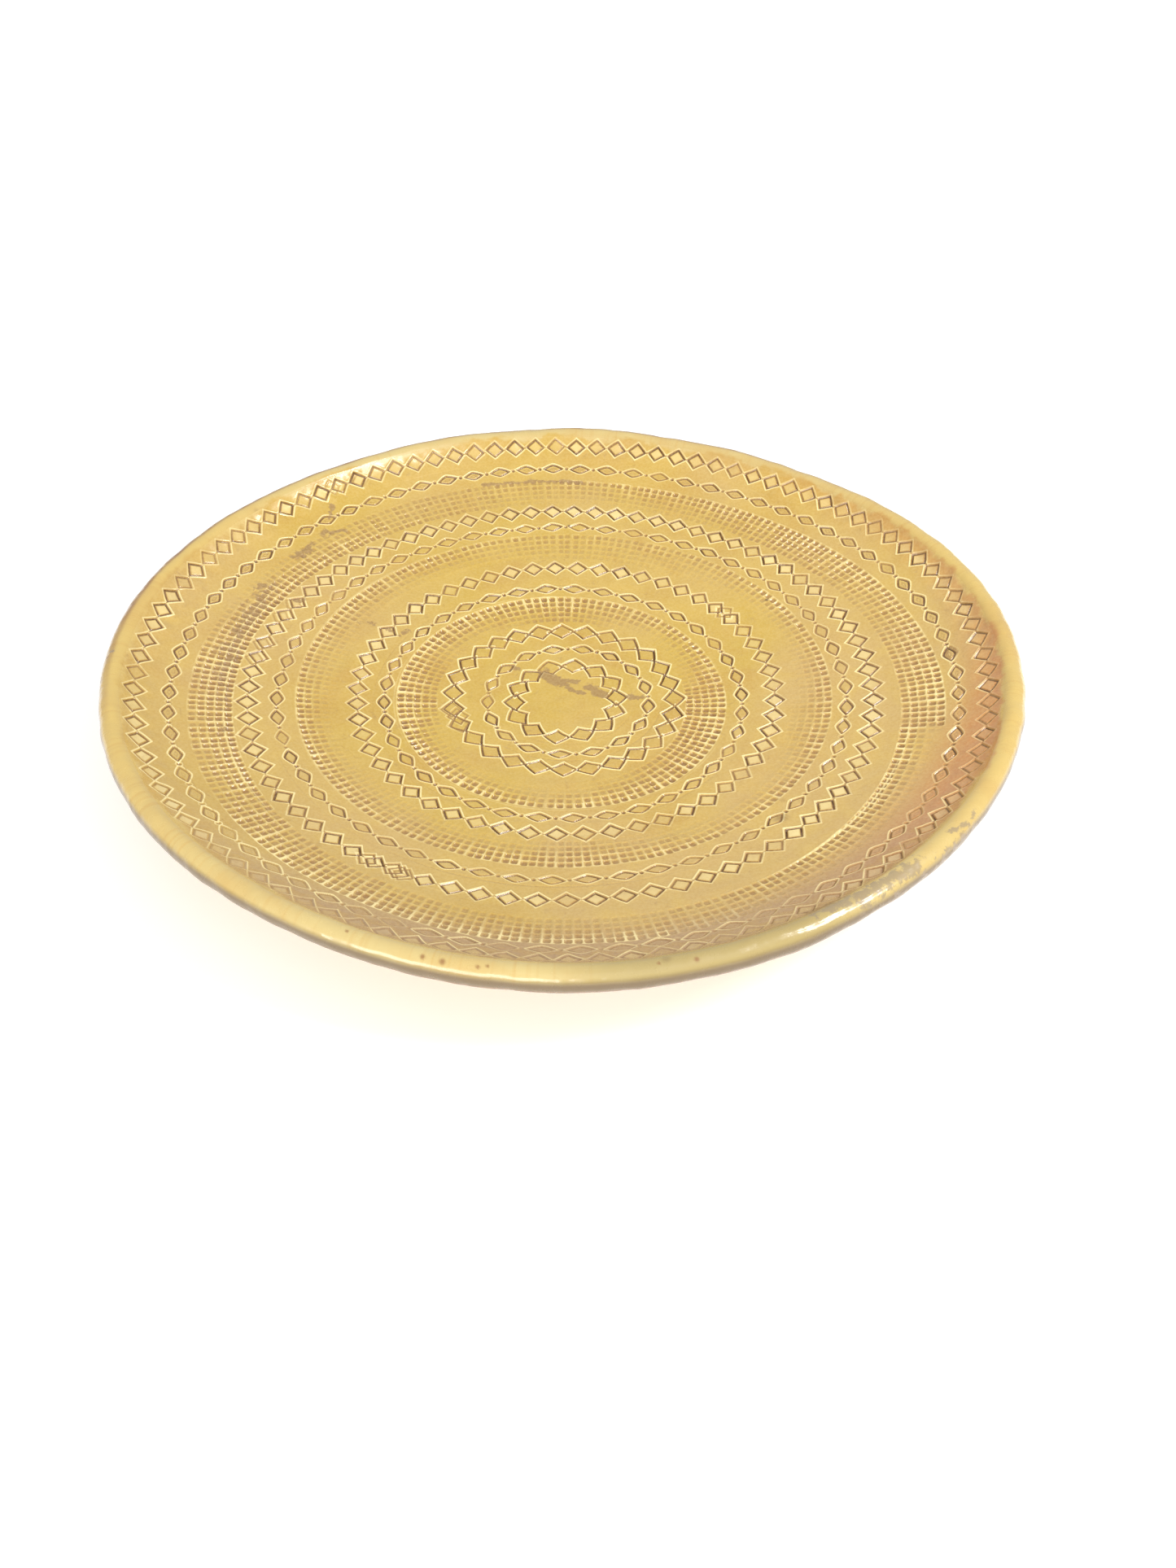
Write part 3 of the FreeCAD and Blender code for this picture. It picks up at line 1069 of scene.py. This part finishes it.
def honey_glaze():
    nodes = Nodes("honey_glaze")
    mottle = nodes.noise(55.0, 4.0, 0.6, 0.4)
    grain = nodes.noise(900.0, 2.0, 0.6)
    colour = glazed_ground(nodes, mottle)

    pool = nodes.attribute("pool")
    colour = nodes.mix(nodes.ramp(pool, 0.05, 0.5, 0.0, 0.88), colour, POOLED_PIT)
    deep = nodes.ramp(pool, 0.45, 0.95)
    colour = nodes.tint(colour, deep, nodes.ramp(mottle, 0.2, 0.7, 0.65, 0.95), POOLED)
    # pale edges over ridges: partly thin glaze, partly painted highlight
    edge = nodes.times(nodes.attribute("break_and_highlight"), nodes.ramp(mottle, 0.25, 0.7, 0.75, 1.0))
    edge = nodes.times(edge, nodes.ramp(nodes.attribute("warm"), 0.0, 1.0, 1.0, 0.6))
    colour = nodes.mix(nodes.ramp(edge, 0.1, 0.95, 0.0, 0.9), colour, BROKEN_AND_HIGHLIGHT)

    # darker grey-brown marks; in the middle and on the left they are painted reflections of the room
    blotch = nodes.noise(170.0, 5.0, 0.65, 1.2)
    patches = nodes.math("ADD", nodes.attribute("mark_and_reflection"), nodes.ramp(blotch, 0.3, 0.7, -0.4, 0.3))
    mark_and_reflection = nodes.ramp(patches, 0.2, 0.46)
    colour = nodes.tint(colour, mark_and_reflection, nodes.ramp(pool, 0.1, 0.5, 0.78, 0.92), MARK_AND_REFLECTION_BROWN)
    colour = nodes.tint(colour, nodes.attribute("speck"), 0.85, IRON)
    colour = nodes.spots(colour, 60.0, 0.985, 3.1, 0.7)
    colour = nodes.mix(nodes.ramp(grain, 0.3, 0.7, 0.0, 0.12), colour, BROKEN_AND_HIGHLIGHT)

    roughness = nodes.ramp(nodes.noise(130.0, 4.0, 0.6), 0.3, 0.7, 0.22, 0.36)
    roughness = nodes.math("ADD", roughness, nodes.times(mark_and_reflection, 0.25))
    skin = nodes.bump(nodes.noise(420.0, 3.0, 0.55), 0.25, 0.00025)
    skin = nodes.bump(nodes.noise(1500.0, 2.0, 0.5), 0.12, 0.0001, skin)
    glaze_surface(nodes, colour, roughness, skin, 0.18)
    return nodes.material


def lip_glaze():
    nodes = Nodes("pale_lip_glaze")
    mottle = nodes.noise(55.0, 4.0, 0.6, 0.4)
    colour = glazed_ground(nodes, mottle)
    crest = nodes.attribute("crest")
    colour = nodes.tint(colour, crest, nodes.ramp(mottle, 0.3, 0.6, 0.5, 0.9), IRON_LINE)
    # painted shade on the lower outer side of the lip
    colour = nodes.tint(colour, nodes.attribute("under"), 0.95, LIP_PAINTED_SHADE)
    colour = nodes.tint(colour, nodes.attribute("seam"), 0.6, IRON_LINE)
    blotch = nodes.noise(260.0, 5.0, 0.7, 0.3)
    patches = nodes.math("ADD", nodes.attribute("mark_and_reflection"), nodes.ramp(blotch, 0.35, 0.65, -0.45, 0.35))
    colour = nodes.mix(nodes.ramp(patches, 0.4, 0.75, 0.0, 0.7), colour, STAIN_GREY)
    colour = nodes.tint(colour, nodes.attribute("fleck"), 0.75, IRON_LINE)
    colour = nodes.spots(colour, 95.0, 0.95, 7.7, 0.6)
    roughness = nodes.ramp(nodes.noise(110.0, 4.0, 0.6), 0.3, 0.7, 0.18, 0.34)
    skin = nodes.bump(nodes.noise(300.0, 3.0, 0.55), 0.3, 0.0003)
    glaze_surface(nodes, colour, roughness, skin, 0.08)
    return nodes.material


def back_glaze():
    nodes = Nodes("back_honey_glaze")
    drift = nodes.noise(12.0, 4.0, 0.6)
    mottle = nodes.noise(70.0, 4.0, 0.6, 0.6)
    colour = nodes.mix(nodes.ramp(drift, 0.35, 0.65), HONEY_GOLD, HONEY_TAN)
    colour = nodes.mix(nodes.ramp(mottle, 0.4, 0.8, 0.0, 0.6), colour, HONEY)
    colour = nodes.tint(colour, nodes.attribute("break_and_highlight"), 0.7, CLAY)
    colour = nodes.tint(colour, nodes.attribute("pool"), 0.6, POOLED_PIT)
    colour = nodes.spots(colour, 80.0, 0.96, 1.3, 0.7)
    roughness = nodes.ramp(nodes.noise(120.0, 4.0, 0.6), 0.3, 0.7, 0.25, 0.42)
    skin = nodes.bump(nodes.noise(260.0, 4.0, 0.6), 0.35, 0.0003)
    glaze_surface(nodes, colour, roughness, skin, 0.08)
    return nodes.material


def bare_clay():
    nodes = Nodes("bare_clay")
    drift = nodes.noise(28.0, 4.0, 0.6)
    grit = nodes.noise(1300.0, 3.0, 0.7)
    colour = nodes.mix(nodes.ramp(drift, 0.3, 0.7), CLAY, CLAY_DARK)
    colour = nodes.mix(nodes.ramp(grit, 0.45, 0.75, 0.0, 0.5), colour, CLAY_DARK)
    colour = nodes.spots(colour, 260.0, 0.9, 2.2, 0.6)
    nodes.surface({"Base Color": colour, "Roughness": nodes.ramp(grit, 0.3, 0.7, 0.72, 0.92),
                   "Normal": nodes.bump(grit, 0.6, 0.0004)})
    return nodes.material


def table_top():
    nodes = Nodes("table_top")
    nodes.surface({"Base Color": TABLE_WHITE, "Roughness": 0.9,
                   "Emission Color": (1.0, 1.0, 1.0, 1.0), "Emission Strength": 0.3})
    return nodes.material


# --- The pieces ---

def add(piece, node):
    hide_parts(node)
    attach(piece, "root")


# Points round each turned piece, few enough that the export keeps every triangle
LIP_COLUMNS = 1760
BACK_COLUMNS = 600
RECESS_COLUMNS = 640
FOOT_COLUMNS = 1080
BODY_COLUMNS = 480

# Brown flecks on the lip: angle, turn from its top towards its outer side, radius in mm
FLECKS = ((256.0, 22.0, 1.0), (258.2, 26.0, 1.2), (262.0, 24.0, 0.8), (263.0, 15.0, 0.7),
          (285.0, 20.0, 1.0), (281.0, 8.0, 0.7), (247.0, 4.0, 0.7), (184.0, 40.0, 0.9),
          (178.0, 46.0, 0.8), (173.0, 20.0, 0.7), (160.0, 30.0, 0.9), (35.0, 18.0, 0.7))


def flecked(angle, turn):
    total = np.zeros_like(angle)
    for at, side, size in FLECKS:
        along = swing_from(angle, math.radians(at)) * LIP_HIGH[0]
        away = np.hypot(along, (turn - math.radians(side)) * LIP_ROUND)
        total = np.maximum(total, 1 - ease(away, 0.4 * size, 1.3 * size))
    return total


def make_lip(material):
    """Rounded lip, with the slight unevenness of a finger-wiped edge and thick glaze."""
    skin, skin_normals = lip_line(0.0, 0.5)
    under, under_normals = lip_line(GLAZE, 1.5)
    last = len(skin) - 1
    seam_turn = math.atan2(skin[0, 0] - LIP_CENTRE[0], skin[0, 1] - LIP_CENTRE[1])

    def relief(radius, angle, height):
        # nothing moves at the two seams or under the skin
        along = np.arange(len(skin) + len(under))
        open_skin = ease(along, 0, 10) * (1 - ease(along, last - 8, last))
        x, y = flat(radius, angle)
        lumps = 0.22 * BROAD_LUMPS(x, y) + 0.16 * SMALL_LUMPS(x + height, y)
        return (lumps + 0.03 * TINY_LUMPS(x, y - height)) * open_skin[:, None]

    def shade(radius, angle, height, place):
        turn = np.arctan2(radius - LIP_CENTRE[0], height - LIP_CENTRE[1])
        behind = ease(np.cos(angle - math.radians(115)), 0.0, 0.75)
        return glaze_channels(radius, angle, place) | {
            "edge": LIP_ROUND * (turn - seam_turn),
            # brown line along the top of the lip, at the far left
            "crest": ease(turn, math.radians(-4), math.radians(18)) * behind,
            # painted shade where the lip turns down and away from the light
            "under": ease(turn, math.radians(46), math.radians(80)),
            # line where the lip's glaze stops above the back's
            "seam": bell(turn - math.radians(118), math.radians(16)),
            "fleck": flecked(angle, turn),
        }

    runs = [(skin, skin_normals), (under[::-1], -under_normals[::-1])]
    piece = turned_piece("lip_glaze_coat", runs, LIP_COLUMNS, relief, shade, material)
    add(piece, "lip_glaze")


THROWING_PITCH = 8.5         # mm between the finger marks on the back
TURNING_PITCH = 5.2          # mm between the turns of the tool in the recess


def throwing_rings(radius, angle):
    """Crests and hollows that the potter's fingers left on the back."""
    return np.cos(TAU * radius / THROWING_PITCH + 0.8 * np.cos(angle) + 0.3 * np.sin(3 * angle))


def turning_spiral(radius, angle):
    return np.cos(TAU * radius / TURNING_PITCH + angle)


def make_back(material):
    """Back of the dish, with soft throwing rings, from the lip to the foot ring."""
    skin, skin_normals = back_line(0.0, FOOT_OUTER, 0.8)
    under, under_normals = back_line(GLAZE, FOOT_OUTER, 4.0)
    last = len(skin) - 1

    def relief(radius, angle, height):
        along = np.arange(len(skin) + len(under))
        open_skin = ease(along, 0, 8) * (1 - ease(along, last - 3, last))
        x, y = flat(radius, angle)
        rise = 0.16 * throwing_rings(radius, angle)
        rise = rise + 0.2 * BROAD_LUMPS(x, y) + 0.06 * SMALL_LUMPS(x, y)
        return rise * open_skin[:, None]

    def shade(radius, angle, height, place):
        crest = 0.5 + 0.5 * throwing_rings(radius, angle)
        near_foot = 1 - ease(radius, FOOT_OUTER, FOOT_OUTER + 3.0)
        return {"break_and_highlight": 0.25 * crest ** 3 + 0.6 * near_foot, "pool": 0.5 * (1 - crest) ** 3}

    runs = [(skin, skin_normals), (under[::-1], -under_normals[::-1])]
    piece = turned_piece("back_glaze_coat", runs, BACK_COLUMNS, relief, shade, material)
    add(piece, "back_glaze")


def underside_line(depth, start, end, step):
    """Underside below the floor arc, from one distance from the axis to another."""
    radius = FLOOR_CURVE + THICKNESS - depth
    return arc_points(FLOOR_CENTRE, radius, math.asin(start / radius), math.asin(end / radius), step)


def make_recess(material):
    """Glazed underside inside the foot ring, with the turning tool's spiral."""
    axis_gap = 0.8
    skin, skin_normals = underside_line(0.0, axis_gap, FOOT_INNER, 0.8)
    under, under_normals = underside_line(GLAZE, axis_gap, FOOT_INNER, 4.0)
    first = len(under)

    def relief(radius, angle, height):
        along = np.arange(len(under) + len(skin))
        open_skin = ease(along, first, first + 4)
        x, y = flat(radius, angle)
        rise = 0.1 * turning_spiral(radius, angle)
        rise = rise + 0.1 * BROAD_LUMPS(x, y) + 0.05 * SMALL_LUMPS(x, y)
        return rise * open_skin[:, None]

    def shade(radius, angle, height, place):
        crest = 0.5 + 0.5 * turning_spiral(radius, angle)
        return {"break_and_highlight": 0.3 * crest ** 3 + 0.5 * ease(radius, FOOT_INNER - 3, FOOT_INNER),
                "pool": 0.45 * (1 - crest) ** 3}

    runs = [(under, -under_normals), (skin[::-1], skin_normals[::-1])]
    piece = turned_piece("recess_glaze_coat", runs, RECESS_COLUMNS, relief, shade, material,
                         on_axis=True)
    add(piece, "recess_glaze")


CHIP_HEIGHT = 0.4            # mm above the table
CHIP_DEPTH = 0.5             # mm


def make_foot(material):
    """Foot ring of bare clay, worn and a little chipped where it stands."""
    corner = math.pi / 2
    inner_corner = np.array([FOOT_INNER + FOOT_ROUNDING, FOOT_ROUNDING])
    outer_corner = np.array([FOOT_OUTER - FOOT_ROUNDING, FOOT_ROUNDING])
    top, top_normals = underside_line(GLAZE, FOOT_INNER, FOOT_OUTER, 2.0)
    step = 0.55

    def straight(start, end, normal):
        count = max(2, round(math.dist(start, end) / step))
        points = np.linspace(start, end, count + 1)
        return points, np.broadcast_to(np.array(normal, float), points.shape)

    rounding_out = arc_points(outer_corner, FOOT_ROUNDING, corner, 0.0, step)
    rounding_in = arc_points(inner_corner, FOOT_ROUNDING, 0.0, -corner, step)
    outline, outline_normals = joined([
        (top, -top_normals),
        straight(top[-1], (FOOT_OUTER, FOOT_ROUNDING), (1, 0)),
        rounding_out,
        straight((outer_corner[0], 0.0), (inner_corner[0], 0.0), (0, -1)),
        rounding_in,
        straight((FOOT_INNER, FOOT_ROUNDING), top[0], (-1, 0)),
    ])
    outline, outline_normals = outline[:-1], outline_normals[:-1]
    rng = np.random.default_rng(41)
    chips = [(rng.uniform(0, TAU), rng.choice([FOOT_INNER + 1.2, FOOT_OUTER - 1.2]), rng.uniform(1.0, 2.6))
             for _ in range(9)]

    def relief(radius, angle, height):
        x, y = flat(radius, angle)
        free = 1 - ease(height, 7.5, 9.5)
        rough = 0.05 * SMALL_LUMPS(x + height, y) + 0.04 * TINY_LUMPS(x, y + height)
        total = -np.abs(rough)
        for at, chip_radius, size in chips:
            along = swing_from(angle, at) * radius
            away = np.sqrt(along ** 2 + (radius - chip_radius) ** 2 + (height - CHIP_HEIGHT) ** 2)
            total = total - CHIP_DEPTH * bell(away, size)
        return total * free

    runs = [(outline, outline_normals)]
    piece = turned_piece("foot_ring_clay", runs, FOOT_COLUMNS, relief, no_channels, material)
    add(piece, "foot_ring")


def make_clay_body(material):
    """The clay under the coats, set just inside them."""
    face, face_normals = face_line(FACE_BACKING + 0.05, 3.0)
    lip, lip_normals = lip_line(GLAZE + 0.05, 1.5)
    back, back_normals = back_line(GLAZE + 0.05, 0.8, 3.0)
    keep = face[:, 0] > 0.5
    runs = [(face[keep], face_normals[keep]), (lip[1:-1], lip_normals[1:-1]), (back, back_normals)]

    piece = turned_piece("clay_body_core", runs, BODY_COLUMNS, no_relief, no_channels, material,
                         on_axis=True)
    add(piece, "clay_body")


# --- Table and light ---

TABLE_HALF = 3.0             # metres from the middle to each edge
WORLD_STRENGTH = 0.6

# Soft lights aimed at the dish: name, place and size in metres, power in watts, colour
LIGHTS = (
    ("key", (0.5, -1.3, 2.0), (1.6, 1.6), 4.0, (1.0, 0.99, 0.97)),
    ("lamp", (1.3, -0.38, 1.5), (0.45, 0.6), 17.0, (1.0, 1.0, 1.0)),
    ("pane", (0.86, 0.02, 1.5), (0.36, 0.26), 6.0, (1.0, 1.0, 1.0)),
    ("window", (-0.8, -1.8, 0.9), (1.7, 0.8), 27.0, (0.97, 0.98, 1.0)),
)


def make_table():
    mesh = bpy.data.meshes.new("table")
    corners = [(x * TABLE_HALF, y * TABLE_HALF, 0) for x, y in ((-1, -1), (1, -1), (1, 1), (-1, 1))]
    mesh.from_pydata(corners, [], [(0, 1, 2, 3)])
    link("table", mesh, table_top())


def area_light(name, place, size, power, colour):
    light = bpy.data.lights.new(name, "AREA")
    light.shape = "RECTANGLE"
    light.size, light.size_y = size
    light.energy = power
    light.color = colour
    lamp = bpy.data.objects.new(name, light)
    lamp.location = place
    aim = Vector((0, 0, 0.02)) - Vector(place)
    lamp.rotation_euler = aim.to_track_quat("-Z", "Y").to_euler()
    bpy.context.scene.collection.objects.link(lamp)


def make_lights():
    world = bpy.data.worlds.new("studio")
    world.use_nodes = True
    background = world.node_tree.nodes["Background"]
    background.inputs["Color"].default_value = (1.0, 1.0, 1.0, 1.0)
    background.inputs["Strength"].default_value = WORLD_STRENGTH
    bpy.context.scene.world = world
    for light in LIGHTS:
        area_light(*light)
    bpy.context.scene.view_settings.view_transform = "Standard"


# --- The scene ---

make_lights()
make_table()
honey = honey_glaze()
clay = bare_clay()
back = back_glaze()
make_face(honey)
make_lip(lip_glaze())
make_back(back)
make_recess(back)
make_foot(clay)
make_clay_body(clay)
